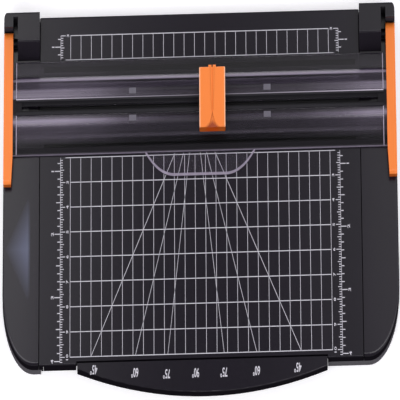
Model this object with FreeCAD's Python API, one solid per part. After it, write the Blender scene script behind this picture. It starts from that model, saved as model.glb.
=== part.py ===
"""Sliding paper trimmer: printed deck, hinged clear guide rail, sliding cutting head, swing-out ruler.

Frame: millimetres, +Z up, +X along the rail, -Y to the ruler's side. The origin is at the bottom centre of
the whole trimmer, on the table. Distances named *_reach, *_back and *_front are measured from the cut line.
"""
import FreeCAD, Part
import math
import os

Vec = FreeCAD.Vector

# ---------------------------------------------------------------- driving sizes
# plan of the base
base_width = 379.2
back_reach = 37.8            # cut line to the rear wall
front_reach = 103.2          # cut line to the front edge of the deck
corner_radius = 30.0         # round front corners
rear_corner_radius = 3.0
wing_width = 35.0            # outer side to the middle of the groove between deck and wing
groove_width = 0.8

# heights above the table
tray_bottom = 1.0
tray_floor = 1.6
split_z = 6.0                # tray meets deck and wings
deck_z = 15.5
deck_skin = 2.0
wall = 2.0
skirt_flare = 0.9            # the skirt leans out to the front
deck_edge_radius = 0.8

# wings
wing_drop = 0.3              # wing below the deck at the groove
wing_crown = 0.8             # further drop at the outer edge
wing_edge_radius = 2.0
wing_cavity_top = 12.2

# feet
foot_radius = 6.0
foot_recess = 0.6
foot_inset = 22.0

# screws
screw_shank_radius = 1.45
screw_head_radius = 2.9
screw_head_height = 2.0
screw_clearance = 0.1
boss_radius = 4.5
boss_top = 5.0               # tray bosses
screw_bite = 7.0
screw_tip_gap = 0.5          # hole is deeper than the screw
deck_screw_inset = 16.0      # from the groove
deck_screw_back = 28.0
deck_screw_front = 43.2      # from the deck's front edge
wing_screw_inset = 14.0
wing_screw_front = 51.2      # from the deck's front edge
tower_screw_inset = 12.0
tower_screw_back = 31.2

# ruler arm under the deck
pivot_inset = 17.6           # from the left groove
pivot_radius = 3.0
pivot_fit = 0.05             # radial running fit
pivot_head_radius = 4.4
hub_radius = 8.0             # its front touches the plane of the deck's front face
hub_wall_left = 12.9         # the arm's own front wall, from the pivot to its left end
arm_tip_short = 0.5          # plate ends before the lip does
arm_rib_depth = 6.8          # arm plate, top to bottom
arm_bottom = 5.0
arm_skin = 2.2
arm_rib = 1.8
arm_plate_depth = 27.2       # the deck's front edge to the arm's rear edge
lip_left_inset = 36.6        # from the left groove
lip_right_inset = 34.6       # from the right groove
lip_set_back = 0.8           # the deck's front edge to the lip's rear edge, which lies in a slot
lip_left_out = 1.9           # the deck's front edge to the lip's left end
lip_right_out = 3.1          # the deck's front edge to the lip's right end
lip_out = 12.1               # the deck's front edge to the lip's middle
lip_gap = 0.7
lip_swing_gap = 1.0          # wider at the end near the pivot, which swings past the deck's edge
lip_below_deck = 0.2
rear_wall_gap = 0.15         # the deck's rear wall to the tower beside it
mouth_left_inset = 2.2       # opening in the front wall for the arm
mouth_gap = 0.45
mouth_depth = 2.0
rib_thick = 2.0
tray_rib_length = 16.0
tray_rib_run = 20.0          # from the arm's tip to the first rib
tray_rib_pitch = 80.0
stop_rib_start = 18.0        # from the lip's left end
washer_height = 1.9
washer_radius = 5.4

# cutting mat
mat_half = 3.0
mat_height = 2.8
mat_below_deck = 0.3
mat_cut_half = 0.95          # groove that the blade runs in
mat_cut_depth = 2.1
mat_fit = 0.1
mat_bed = 1.6

# hinge towers
tower_top = 30.0
tower_width = 21.2           # block beside the rail
tower_top_front = 25.8       # cut line to the front of the tower's top face
tower_foot_front = 20.2      # cut line to the tower's foot
tower_seat = 14.2
tower_web = 1.8
tower_corner_radius = 3.0
tower_edge_radius = 0.7
hinge_back = 26.6            # cut line to the hinge axis
hinge_z = 19.6
hinge_pin_radius = 2.0
hinge_fit = 0.05
press_fit = 0.02
hinge_pin_inset = 3.6        # into the tower's block
hinge_pin_cover = 1.8        # side arm outside the pin

# side arms
side_arm_width = 8.9
side_arm_front = 31.5        # cut line to the arm's front end
side_arm_half_height = 4.3
side_arm_front_width = 7.5
side_arm_edge_radius = 0.9
side_arm_rear_radius = 3.4   # top corner behind the hinge
side_arm_gap = 0.6           # arm to the tower behind it

# guide rail section, measured from the cut line
rail_overhang = 23.0         # beyond the groove
rail_half = 19.05
rail_bottom = 16.2
flange_top = 18.5
flange_root_top = 18.9
step_half = 12.3             # upright step between flange and shoulder
step_z = 19.6
shoulder_half = 11.05
shoulder_z = 20.5
crest_outer = 6.9
crest_inner = 3.4
crest_z = 22.5
crest_outer_radius = 6.0
crest_inner_radius = 0.6
trough_z = 17.9
slot_half = 1.0
rail_wall = 1.7

# track insert
track_fit = 0.05
track_wall = 0.4
track_floor = 0.8
track_lip = 0.8
track_below_crest = 0.2
track_mouth_half = 2.1

# sight window on the rail's front edge
window_half = 53.35
window_flat_half = 25.0
window_depth = 9.9
window_thick = 1.3
window_rim = 1.1
window_rim_height = 0.6

# clips
clip_x = 65.0
clip_length = 6.8
clip_width = 2.4
clip_thick = 0.6
clip_fit = 0.05

# rail ends
rail_end_tongue = 23.0
tongue_fit = 0.1
tenon_depth = 5.9
tenon_half = 10.0
tenon_fit = 0.1
stop_length = 5.5

# grip strips
grip_inner = 14.6
grip_outer = 16.8
grip_thick = 0.4
grip_inset = 4.0             # from the groove
blade_run = 11.0             # slot in the wing, from the groove
seat_inset = 1.5
seat_depth = 1.0
seat_clear = 3.0

# cutting head, running clearance and travel
head_x = 12.0
head_half_x = 12.5
head_half_y = 12.35
head_top = 35.0
head_wall = 1.5
head_press = 3.0
run_gap = 0.3
head_edge_radius = 0.7
head_skirt_gap = 0.7         # shell's edge above the shoulder when pressed
shoe_half = 11.5
shoe_height = 2.2
neck_half = 1.8
plate_half_x = 10.6
plate_half_y = 10.0
plate_thick = 1.5
post_x = 8.2
post_radius = 1.5
post_height = 5.5
spring_wire = 0.5
spring_turns = 5.0
spring_gap = 0.25
holder_half_x = 5.0
holder_foot_half = 7.0
holder_half_y = 0.6
holder_foot_height = 1.5
holder_head_half_y = 3.0
holder_head_height = 2.8
holder_slot_gap = 0.4
blade_half_width = 4.5
blade_thick = 0.4
blade_tip_z = 16.6
blade_taper = 2.9
blade_top = 30.4
blade_tip_half = 0.5
rivet_radius = 1.0
rivet_z = 28.6

# ---------------------------------------------------------------- places worked out from the sizes
half_width = base_width / 2
panel_half = half_width - wing_width
arm_back = front_reach - arm_plate_depth
lip_back = front_reach - lip_set_back
lip_left_reach = front_reach + lip_left_out
lip_right_reach = front_reach + lip_right_out
lip_reach = front_reach + lip_out
cut_y = (lip_reach - back_reach) / 2
back_y = cut_y + back_reach
front_y = cut_y - front_reach
wing_inner = panel_half + groove_width / 2
deck_half = panel_half - groove_width / 2
rail_half_length = panel_half + rail_overhang
side_arm_inner = half_width - side_arm_width
tower_outer = wing_inner + tower_width
hinge_pin_inner = wing_inner + hinge_pin_inset
hinge_pin_outer = half_width - hinge_pin_cover
pivot_x = pivot_inset - panel_half
lip_left = lip_left_inset - panel_half
lip_right = panel_half - lip_right_inset
arm_tip_x = lip_right - arm_tip_short
mouth_left = mouth_left_inset - panel_half
mouth_right = lip_right + mouth_gap
wing_top = deck_z - wing_drop
deck_under = deck_z - deck_skin
tray_top = tray_bottom + tray_floor
pivot_y = front_y + hub_radius
arm_top = arm_bottom + arm_rib_depth
hub_wall_bottom = tray_top + run_gap
hinge_y = cut_y + hinge_back
side_arm_back_y = hinge_y + side_arm_half_height
strip_front_y = side_arm_back_y + side_arm_gap
track_top = crest_z - track_below_crest
track_half = crest_inner - track_fit
shoe_bottom = trough_z + track_floor + run_gap
neck_bottom = shoe_bottom + shoe_height
plate_bottom = crest_z + run_gap
plate_top = plate_bottom + plate_thick
ceiling_z = head_top - head_wall - 0.1
skirt_z = shoulder_z + head_press + head_skirt_gap
arch_z = crest_z + head_press + run_gap + 0.1
spring_radius = post_radius + spring_gap + spring_wire / 2
stop_x = rail_half_length - stop_length
screw_head_z = tray_bottom + 0.3

deck_screw_x = panel_half - deck_screw_inset
deck_screw_places = [(x, y) for x in (deck_screw_x, deck_screw_x / 3)
                     for y in (cut_y + deck_screw_back, front_y + deck_screw_front)]
wing_screw_places = [(panel_half + wing_screw_inset, front_y + wing_screw_front)]
tower_screw_place = (panel_half + tower_screw_inset, cut_y + tower_screw_back)
SIDES = {"left": -1, "right": 1}


# ---------------------------------------------------------------- helpers
def box(x0, x1, y0, y1, z0, z1):
    """Block between two corners."""
    return Part.makeBox(x1 - x0, y1 - y0, z1 - z0, Vec(x0, y0, z0))


def rod(radius, x, y, z0, z1):
    """Upright cylinder."""
    return Part.makeCylinder(radius, z1 - z0, Vec(x, y, z0))


def bar(radius, x0, x1, y, z):
    """Cylinder along X."""
    return Part.makeCylinder(radius, x1 - x0, Vec(x0, y, z), Vec(1, 0, 0))


def rounded_wire(points, radii):
    """Closed wire through the points, each corner rounded by its own radius (0 keeps it sharp)."""
    edges = []
    starts, ends = [], []
    count = len(points)
    for i, corner in enumerate(points):
        radius = radii[i]
        if radius == 0:
            starts.append(corner)
            ends.append(corner)
            continue
        before = (points[i - 1] - corner).normalize()
        after = (points[(i + 1) % count] - corner).normalize()
        half_angle = before.getAngle(after) / 2
        run = radius / math.tan(half_angle)
        start, end = corner + before * run, corner + after * run
        inward = (before + after).normalize()
        middle = corner + inward * (radius / math.sin(half_angle) - radius)
        edges.append(Part.Arc(start, middle, end).toShape())
        starts.append(start)
        ends.append(end)
    for i in range(count):
        j = (i + 1) % count
        if (ends[i] - starts[j]).Length > 1e-6:
            edges.append(Part.LineSegment(ends[i], starts[j]).toShape())
    return Part.Wire(Part.__sortEdges__(edges))


def prism_x(points, x0, x1, radii=None):
    """Outline in (y, z), carried along X."""
    corners = [Vec(x0, y, z) for y, z in points]
    face = Part.Face(rounded_wire(corners, radii or [0] * len(corners)))
    return face.extrude(Vec(x1 - x0, 0, 0))


def prism_y(points, y0, y1, radii=None):
    """Outline in (x, z), carried along Y."""
    corners = [Vec(x, y0, z) for x, z in points]
    face = Part.Face(rounded_wire(corners, radii or [0] * len(corners)))
    return face.extrude(Vec(0, y1 - y0, 0))


def prism_z(points, z0, z1, radii=None):
    """Outline in (x, y), carried along Z."""
    corners = [Vec(x, y, z0) for x, y in points]
    face = Part.Face(rounded_wire(corners, radii or [0] * len(corners)))
    return face.extrude(Vec(0, 0, z1 - z0))


def fillet(shape, radius, wanted):
    """Round the edges whose middle point satisfies the test."""
    chosen = []
    for edge in shape.Edges:
        middle = edge.valueAt((edge.FirstParameter + edge.LastParameter) / 2)
        if wanted(middle, edge):
            chosen.append(edge)
    return shape.makeFillet(radius, chosen)


def mirrored(shape):
    """Same piece for the other side."""
    return shape.mirror(Vec(0, 0, 0), Vec(1, 0, 0))


def on_side(shape, side):
    """Pieces are drawn for the right, +X, side."""
    return shape if side > 0 else mirrored(shape)


def base_outline(inset, front_shift=0.0):
    """Corners and radii of the base's plan, drawn in by inset, its front edge moved by front_shift."""
    x, back, front = half_width - inset, back_y - inset, front_y + inset - front_shift
    points = [(-x, front), (x, front), (x, back), (-x, back)]
    front_radius = corner_radius - inset
    rear_radius = max(rear_corner_radius - inset, 0.5)
    return points, [front_radius, front_radius, rear_radius, rear_radius]


def base_prism(inset, z0, z1):
    """Upright prism on the base's plan."""
    points, radii = base_outline(inset)
    return prism_z(points, z0, z1, radii)


def screw(x, y, head_z, tip_z):
    """Pan-head screw, driven up from below."""
    head = rod(screw_head_radius, x, y, head_z, head_z + screw_head_height)
    socket = rod(screw_head_radius * 0.4, x, y, head_z, head_z + screw_head_height * 0.5)
    shank = rod(screw_shank_radius, x, y, head_z + screw_head_height, tip_z)
    return head.fuse(shank).cut(socket)


def screw_hole(x, y, z0, z1):
    """Clearance for a screw's shank."""
    return rod(screw_shank_radius + screw_clearance, x, y, z0, z1)


def both_sides(places):
    """Each place and its mirror image."""
    return [(sign * x, y) for x, y in places for sign in (-1, 1)]


# ---------------------------------------------------------------- base
def make_base_tray():
    """Lower tray: floor, flared skirt, bosses, foot recesses and the opening for the ruler arm."""
    low_points, low_radii = base_outline(0.0, skirt_flare)
    top_points, top_radii = base_outline(0.0)
    low = rounded_wire([Vec(x, y, tray_bottom) for x, y in low_points], low_radii)
    top = rounded_wire([Vec(x, y, split_z) for x, y in top_points], top_radii)
    tray = Part.makeLoft([low, top], True, True)
    tray = tray.cut(base_prism(wall, tray_top, split_z + 1))
    tray = tray.cut(box(mouth_left, mouth_right, front_y - 5, front_y + mouth_depth, 0, split_z + 1))
    for x, y in foot_places():
        tray = tray.cut(rod(foot_radius + screw_clearance, x, y, 0, tray_bottom + foot_recess))
    for x, y in screw_places():
        tray = tray.fuse(rod(boss_radius, x, y, tray_top, boss_top))
        tray = tray.cut(rod(screw_head_radius + 0.2, x, y, 0, screw_head_z + screw_head_height))
        tray = tray.cut(screw_hole(x, y, 0, boss_top))
    tray = tray.fuse(rod(washer_radius, pivot_x, pivot_y, tray_top, tray_top + 0.4))
    tray = tray.cut(rod(pivot_head_radius + 0.2, pivot_x, pivot_y, 0, tray_bottom + 0.9))
    tray = tray.cut(rod(pivot_radius + screw_clearance, pivot_x, pivot_y, 0, tray_top + 1))
    for i in range(3):
        x = arm_tip_x - tray_rib_run - i * tray_rib_pitch
        rib_y = cut_y - arm_back - tray_rib_length / 2
        tray = tray.fuse(box(x, x + rib_thick, rib_y, rib_y + tray_rib_length, tray_top,
                             arm_bottom - run_gap))
    return tray.removeSplitter()


def foot_places():
    """Centres of the four feet."""
    x = half_width - foot_inset
    return [(sx * x, y) for y in (front_y + foot_inset, back_y - foot_inset) for sx in (-1, 1)]


def screw_places():
    """Centres of every case screw."""
    return both_sides(deck_screw_places + wing_screw_places + [tower_screw_place])


def make_foot(place):
    """Rubber foot with a slightly domed edge."""
    x, y = place
    foot = rod(foot_radius, x, y, 0, tray_bottom + foot_recess)
    return fillet(foot, 0.4, lambda middle, edge: abs(middle.z) < 1e-6)


def make_deck():
    """Centre panel: top skin, rear wall, front walls beside the mouth, mat channel, ribs and bosses."""
    skin = prism_x([(front_y, deck_under), (front_y, deck_z), (back_y, deck_z), (back_y, deck_under)],
                   -deck_half, deck_half, [0, deck_edge_radius, deck_edge_radius, 0])
    rear_half = wing_inner - rear_wall_gap
    deck = skin.fuse(box(-rear_half, rear_half, back_y - wall, back_y, split_z, deck_under))
    front_left = box(-deck_half, pivot_x - hub_wall_left, front_y, front_y + wall, split_z, deck_under).fuse(
        box(mouth_left + run_gap, pivot_x - hub_wall_left, front_y, front_y + wall, hub_wall_bottom, deck_under))
    sweep = math.hypot(hub_wall_left, hub_radius) + run_gap
    deck = deck.fuse(front_left.cut(rod(sweep, pivot_x, pivot_y, 0, deck_z)))
    deck = deck.fuse(box(mouth_right, deck_half, front_y, front_y + wall, split_z, deck_under))
    for x0 in (-deck_half, deck_half - wall):
        deck = deck.fuse(box(x0, x0 + wall, cut_y - arm_back + 3, back_y, split_z + 2, deck_under))
    bed_z = deck_z - mat_below_deck - mat_height
    pocket_half = mat_half + mat_fit
    deck = deck.fuse(box(-deck_half, deck_half, cut_y - pocket_half - wall, cut_y + pocket_half + wall,
                         bed_z - mat_bed, deck_under))
    deck = deck.cut(box(-deck_half - 1, deck_half + 1, cut_y - pocket_half, cut_y + pocket_half, bed_z,
                        deck_z + 1))
    rib_y = cut_y - arm_back + lip_gap
    deck = deck.fuse(box(lip_left + stop_rib_start, arm_tip_x, rib_y, rib_y + rib_thick, split_z, deck_under))
    for x, y in both_sides(deck_screw_places):
        deck = deck.fuse(rod(boss_radius - 0.5, x, y, boss_top, deck_under))
        deck = deck.cut(screw_hole(x, y, boss_top - 1, boss_top + screw_bite))
    deck = deck.fuse(rod(washer_radius, pivot_x, pivot_y, arm_top + run_gap, deck_under))
    deck = deck.cut(rod(pivot_radius + screw_clearance, pivot_x, pivot_y, arm_top, deck_under + 0.4))
    lip_slot = box(lip_left - lip_swing_gap, mouth_right, front_y - 1, cut_y - lip_back + lip_gap,
                   split_z - 1, deck_z + 1)
    return deck.cut(lip_slot).removeSplitter()


def make_cutting_mat():
    """Soft strip under the blade, with the groove that the blade runs in."""
    top = deck_z - mat_below_deck
    mat = box(-deck_half, deck_half, cut_y - mat_half, cut_y + mat_half, top - mat_height, top)
    return mat.cut(box(-deck_half - 1, deck_half + 1, cut_y - mat_cut_half, cut_y + mat_cut_half,
                       top - mat_cut_depth, top + 1))


def make_wing(side):
    """Side panel: crowned top with a soft edge, walls, seats for the tower and the rail's end."""
    outer = base_prism(0.0, split_z, wing_top + 5)
    outer = outer.common(box(wing_inner, half_width + 1, front_y - 1, back_y + 1, split_z, wing_top + 5))
    middle_x = (wing_inner + half_width) / 2
    middle_drop = wing_crown * ((middle_x - wing_inner) / (half_width - wing_inner)) ** 2
    left, mid, right = (Vec(wing_inner - 1, front_y - 1, wing_top),
                        Vec(middle_x, front_y - 1, wing_top - middle_drop),
                        Vec(half_width + 1, front_y - 1, wing_top - wing_crown))
    edges = [Part.Arc(left, mid, right).toShape(),
             Part.LineSegment(right, right + Vec(0, 0, 9)).toShape(),
             Part.LineSegment(right + Vec(0, 0, 9), left + Vec(0, 0, 9)).toShape(),
             Part.LineSegment(left + Vec(0, 0, 9), left).toShape()]
    above = Part.Face(Part.Wire(edges)).extrude(Vec(0, back_y - front_y + 2, 0))
    wing = outer.cut(above)
    top_floor = wing_top - wing_crown - 0.5
    wing = fillet(wing, wing_edge_radius,
                  lambda m, e: m.z > top_floor and m.x > wing_inner + 0.5 and m.y < back_y - 1)
    cavity = base_prism(wall, split_z - 1, wing_cavity_top)
    cavity = cavity.common(box(wing_inner + wall, half_width, front_y, back_y, split_z - 1, wing_cavity_top))
    wing = wing.cut(cavity)
    for x, y in wing_screw_places + [tower_screw_place]:
        wing = wing.fuse(rod(boss_radius - 0.5, x, y, boss_top, wing_cavity_top + 0.5))
    for x, y in wing_screw_places:
        wing = wing.cut(screw_hole(x, y, boss_top - 1, boss_top + screw_bite))
    wing = wing.cut(screw_hole(*tower_screw_place, boss_top - 1, wing_top + 1))
    seat_front = cut_y + tower_foot_front - 0.1
    wing = wing.cut(box(wing_inner - 1, tower_outer + 0.1, seat_front, back_y + 1, tower_seat, wing_top + 1))
    wing = wing.cut(box(tower_outer, half_width + 1, strip_front_y - 0.1, back_y + 1, tower_seat,
                        wing_top + 1))
    wing = wing.cut(box(panel_half + seat_inset, tower_outer, cut_y - shoulder_half,
                        cut_y + shoulder_half + seat_clear, wing_top - seat_depth, wing_top + 1))
    slot_reach = mat_cut_half * 2
    wing = wing.cut(box(wing_inner - 1, panel_half + blade_run, cut_y - slot_reach, cut_y + slot_reach,
                        wing_cavity_top + 0.7, wing_top + 1))
    return on_side(wing.removeSplitter(), side)


def make_tower(side):
    """Hinge tower: sloped block, rear web and the outer strip behind the side arm."""
    block = prism_x([(cut_y + tower_foot_front, tower_seat), (cut_y + tower_foot_front, wing_top),
                     (cut_y + tower_top_front, tower_top), (back_y, tower_top), (back_y, tower_seat)],
                    wing_inner, tower_outer, [0, 0, 1.2, tower_edge_radius, 0])
    strip = prism_z([(tower_outer, strip_front_y), (half_width, strip_front_y), (half_width, back_y),
                     (tower_outer, back_y)], tower_seat, tower_top, [0, 0, tower_corner_radius, 0])
    slot = box(tower_outer, side_arm_inner, strip_front_y - 1, back_y - tower_web, tower_seat - 1,
               tower_top + 1)
    strip = fillet(strip.cut(slot), tower_edge_radius,
                   lambda m, e: m.z > tower_top - 0.01 and (m.x > side_arm_inner + 0.5 or m.y > back_y - 0.1))
    tower = block.fuse(strip)
    tower = tower.cut(bar(hinge_pin_radius + press_fit, hinge_pin_inner, tower_outer + 1, hinge_y, hinge_z))
    tower = tower.cut(screw_hole(*tower_screw_place, tower_seat - 1, tower_seat + screw_bite))
    return on_side(tower.removeSplitter(), side)


def make_hinge_pin(side):
    """Steel pin, pressed into the tower, running in the side arm."""
    pin = bar(hinge_pin_radius, hinge_pin_inner, hinge_pin_outer, hinge_y, hinge_z)
    pin = pin.makeChamfer(0.3, [e for e in pin.Edges if isinstance(e.Curve, Part.Circle)])
    return on_side(pin, side)


def make_ruler_pivot():
    """Shoulder stud of the ruler arm, with its head under the tray."""
    head = rod(pivot_head_radius, pivot_x, pivot_y, tray_bottom + 0.1, tray_bottom + 0.9)
    stud = rod(pivot_radius, pivot_x, pivot_y, tray_bottom + 0.9, deck_under + 0.2)
    return head.fuse(stud)


def make_ruler_washer():
    """Nylon washer between the tray and the ruler arm."""
    low = tray_top + 0.4
    washer = rod(washer_radius, pivot_x, pivot_y, low, min(low + washer_height, arm_bottom - 0.1))
    return washer.cut(rod(pivot_radius + screw_clearance, pivot_x, pivot_y, 0, arm_bottom))


# ---------------------------------------------------------------- ruler arm
def make_ruler_arm():
    """Swing-out ruler: hub with a front wall, ribbed plate under the deck and the curved lip before it."""
    back = cut_y - arm_back
    hub = rod(hub_radius, pivot_x, pivot_y, arm_bottom, arm_top)
    plate = box(pivot_x, arm_tip_x, cut_y - lip_back - 1, back, arm_bottom, arm_top)
    plate = plate.cut(box(pivot_x - 1, lip_left, front_y - 9, front_y + 6, arm_bottom - 1, arm_top + 1))
    front_wall = box(pivot_x - hub_wall_left, lip_left - lip_swing_gap, front_y, front_y + wall,
                     hub_wall_bottom, deck_under - run_gap)
    lip_corners = [Vec(lip_left, cut_y - lip_left_reach, arm_bottom),
                   Vec((lip_left + lip_right) / 2, cut_y - lip_reach, arm_bottom),
                   Vec(lip_right, cut_y - lip_right_reach, arm_bottom)]
    rear_left, rear_right = (Vec(lip_left, cut_y - lip_back, arm_bottom),
                             Vec(lip_right, cut_y - lip_back, arm_bottom))
    outline = Part.Wire([Part.Arc(*lip_corners).toShape(),
                         Part.LineSegment(lip_corners[2], rear_right).toShape(),
                         Part.LineSegment(rear_right, rear_left).toShape(),
                         Part.LineSegment(rear_left, lip_corners[0]).toShape()])
    lip_top = deck_z - lip_below_deck
    lip = Part.Face(outline).extrude(Vec(0, 0, lip_top - arm_bottom))
    lip = fillet(lip, 0.5, lambda m, e: m.z > lip_top - 0.01 and m.y < cut_y - lip_back - 0.5)
    arm = hub.fuse(plate).fuse(front_wall).fuse(lip)
    pocket_back, pocket_front = back - arm_rib, cut_y - lip_back + arm_rib
    step = (arm_tip_x - lip_left - arm_rib) / 4
    for i in range(4):
        x0 = lip_left + arm_rib + i * step
        arm = arm.cut(box(x0, x0 + step - arm_rib, pocket_front, pocket_back, arm_bottom - 1,
                          arm_top - arm_skin))
    arm = arm.cut(rod(pivot_radius + pivot_fit, pivot_x, pivot_y, arm_bottom - 1, arm_top + 1))
    return arm.removeSplitter()


# ---------------------------------------------------------------- rail
def rail_outline():
    """Half of the rail's outer section, from the flange's foot up to the crest, as (distance, z)."""
    return [(rail_half, rail_bottom), (rail_half, flange_top), (step_half + 0.1, flange_root_top),
            (step_half, step_z), (shoulder_half, shoulder_z), (crest_outer, crest_z)]


def full_section(inner):
    """Both halves of an outline; inner is the list of points between the two crests."""
    right = [(cut_y + d, z) for d, z in rail_outline()]
    left = [(cut_y - d, z) for d, z in reversed(rail_outline())]
    return right + inner + left


def cavity_section(grow):
    """Hollow under one crest, as (distance, z); grow is negative for a tongue that fits in it."""
    inner = crest_inner + rail_wall - grow
    outer = shoulder_half - rail_wall + grow
    return [(inner, rail_bottom), (outer, rail_bottom), (outer, shoulder_z - rail_wall + grow),
            (crest_outer, crest_z - rail_wall + grow), (inner, crest_z - rail_wall + grow)]


def cavity_prism(sign, grow, x0, x1):
    """The hollow, or its tongue, carried along X."""
    return prism_x([(cut_y + sign * d, z) for d, z in cavity_section(grow)], x0, x1)


def clip_places():
    """Centres of the four clips on the crests."""
    offset = (crest_inner + crest_outer) / 2 + 0.4
    return {f"{end}_{row}": (sx * clip_x, cut_y + sy * offset)
            for row, sy in (("back", 1), ("front", -1)) for end, sx in SIDES.items()}


def make_guide_rail():
    """Clear profile: two flanges, raised middle with a trough for the track, hollow crests."""
    inner = [(cut_y + crest_inner, crest_z), (cut_y + crest_inner, trough_z),
             (cut_y - crest_inner, trough_z), (cut_y - crest_inner, crest_z)]
    half_radii = [0, 0.8, 0.4, 0.2, 0.6, crest_outer_radius]
    radii = half_radii + [crest_inner_radius, 0, 0, crest_inner_radius] + half_radii[::-1]
    rail = prism_x(full_section(inner), -rail_half_length, rail_half_length, radii)
    for sign in (-1, 1):
        rail = rail.cut(cavity_prism(sign, 0.0, -rail_half_length - 1, rail_half_length + 1))
    rail = rail.cut(box(-stop_x, stop_x, cut_y - slot_half, cut_y + slot_half, rail_bottom - 1, crest_z + 1))
    for x, y in clip_places().values():
        reach_x, reach_y = clip_length / 2 + clip_fit, clip_width / 2 + clip_fit
        rail = rail.cut(box(x - reach_x, x + reach_x, y - reach_y, y + reach_y, crest_z - clip_thick,
                            crest_z + 1))
    return rail.removeSplitter()


def make_rail_track():
    """C-shaped channel in the trough, with the blade slot in its floor."""
    top, floor = track_top, trough_z + track_floor
    inner = track_half - track_wall
    channel = box(-rail_half_length, rail_half_length, cut_y - track_half, cut_y + track_half, trough_z, top)
    channel = channel.cut(box(-half_width, half_width, cut_y - inner, cut_y + inner, floor,
                              top - track_lip))
    channel = channel.cut(box(-half_width, half_width, cut_y - track_mouth_half, cut_y + track_mouth_half,
                              top - track_lip - 1, top + 1))
    slot = box(-stop_x, stop_x, cut_y - slot_half, cut_y + slot_half, trough_z - 1, floor + 1)
    return channel.cut(slot)


def make_sight_window():
    """Half-round tab: flat middle, ends as arcs tangent to it, and a raised rim."""
    arc_run = window_half - window_flat_half
    arc_radius = (arc_run ** 2 + window_depth ** 2) / (2 * window_depth)
    edge_y = cut_y - rail_half

    def blank(inset, z0, z1):
        radius = arc_radius - inset
        bottom = edge_y - window_depth + inset
        centre_y = bottom + radius
        reach = math.sqrt(radius ** 2 - (centre_y - edge_y) ** 2)
        turn = math.asin(reach / radius) / 2
        corner = [Vec(window_flat_half + reach, edge_y, z0),
                  Vec(window_flat_half + radius * math.sin(turn), centre_y - radius * math.cos(turn), z0),
                  Vec(window_flat_half, bottom, z0)]
        other = [Vec(-p.x, p.y, p.z) for p in reversed(corner)]
        outline = Part.Wire([Part.Arc(*corner).toShape(), Part.LineSegment(corner[2], other[0]).toShape(),
                             Part.Arc(*other).toShape(), Part.LineSegment(other[2], corner[0]).toShape()])
        return Part.Face(outline).extrude(Vec(0, 0, z1 - z0))

    top = rail_bottom + window_thick
    rim = blank(0.0, rail_bottom, top + window_rim_height).cut(blank(window_rim, top, top + 2))
    return rim.removeSplitter()


def make_clip(place):
    """Snap clip that holds the track in the clear profile."""
    x, y = place
    return box(x - clip_length / 2, x + clip_length / 2, y - clip_width / 2, y + clip_width / 2,
               crest_z - clip_thick, crest_z - 0.02)


def make_rail_end(side):
    """End piece: cap on the profile, two tongues in its hollows, tenon into the side arm, track stop."""
    cap = prism_x(full_section([]), rail_half_length, side_arm_inner)
    for sign in (-1, 1):
        cap = cap.fuse(cavity_prism(sign, -tongue_fit, rail_half_length - rail_end_tongue,
                                    rail_half_length + 0.5))
    mid_z = (rail_bottom + crest_z) / 2
    cap = cap.fuse(box(side_arm_inner - 0.5, side_arm_inner + tenon_depth, cut_y - tenon_half,
                       cut_y + tenon_half, mid_z - 2.0, mid_z + 2.0))
    for y in arm_screw_ys():
        cap = cap.cut(rod(1.2, arm_screw_x(), y, mid_z - 3, mid_z + 1.2))
    stop_half = track_half - track_wall - tongue_fit
    cap = cap.fuse(box(stop_x, rail_half_length + 0.5, cut_y - stop_half, cut_y + stop_half,
                       trough_z + track_floor, track_top - track_lip - tongue_fit))
    return on_side(cap.removeSplitter(), side)


def arm_screw_x():
    """Screws through the side arm's underside into the tenon."""
    return side_arm_inner + tenon_depth * 0.55


def arm_screw_ys():
    """Their places along the arm."""
    return (cut_y - tenon_half * 0.6, cut_y + tenon_half * 0.6)


def make_side_arm(side):
    """Orange arm: rounded rear end about the hinge, tapered front, mortise for the rail's tenon."""
    front = cut_y - side_arm_front
    low, high = hinge_z - side_arm_half_height, hinge_z + side_arm_half_height
    taper_start = cut_y - rail_half - 1.0
    plan = prism_z([(side_arm_inner, side_arm_back_y), (side_arm_inner, taper_start),
                    (half_width - side_arm_front_width, front), (half_width, front),
                    (half_width, side_arm_back_y)], low - 1, high + 1)
    r = side_arm_half_height
    side_view = prism_x([(front, low), (front, high), (side_arm_back_y, high), (side_arm_back_y, low)],
                        side_arm_inner - 1, half_width + 1, [1.5, 2.0, side_arm_rear_radius, r * 0.999])
    arm = plan.common(side_view)
    arm = fillet(arm, side_arm_edge_radius,
                 lambda m, e: abs(m.z - high) < 1e-3 and abs(m.x - half_width) < 1e-3 and e.Length > 10)
    mid_z = (rail_bottom + crest_z) / 2
    arm = arm.cut(box(side_arm_inner - 1, side_arm_inner + tenon_depth + tenon_fit,
                      cut_y - tenon_half - tenon_fit, cut_y + tenon_half + tenon_fit,
                      mid_z - 2.0 - tenon_fit, mid_z + 2.0 + tenon_fit))
    arm = arm.cut(bar(hinge_pin_radius + hinge_fit, side_arm_inner - 1, hinge_pin_outer + run_gap, hinge_y,
                      hinge_z))
    for y in arm_screw_ys():
        arm = arm.cut(rod(1.3, arm_screw_x(), y, low - 1, mid_z))
        arm = arm.cut(rod(2.3, arm_screw_x(), y, low - 1, low + 0.9))
    return on_side(arm.removeSplitter(), side)


def make_arm_screws():
    """Four short screws under the side arms."""
    mid_z = (rail_bottom + crest_z) / 2
    low = hinge_z - side_arm_half_height
    screws = []
    for x in (-arm_screw_x(), arm_screw_x()):
        for y in arm_screw_ys():
            head = rod(2.1, x, y, low + 0.1, low + 0.9)
            screws.append(head.fuse(rod(1.15, x, y, low + 0.9, mid_z + 1.0)))
    return Part.makeCompound(screws)


def make_grip_strip(sign):
    """Soft strip under a flange, which holds the paper."""
    ys = sorted((cut_y + sign * grip_inner, cut_y + sign * grip_outer))
    reach = panel_half - grip_inset
    return box(-reach, reach, ys[0], ys[1], rail_bottom - grip_thick, rail_bottom)


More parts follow.
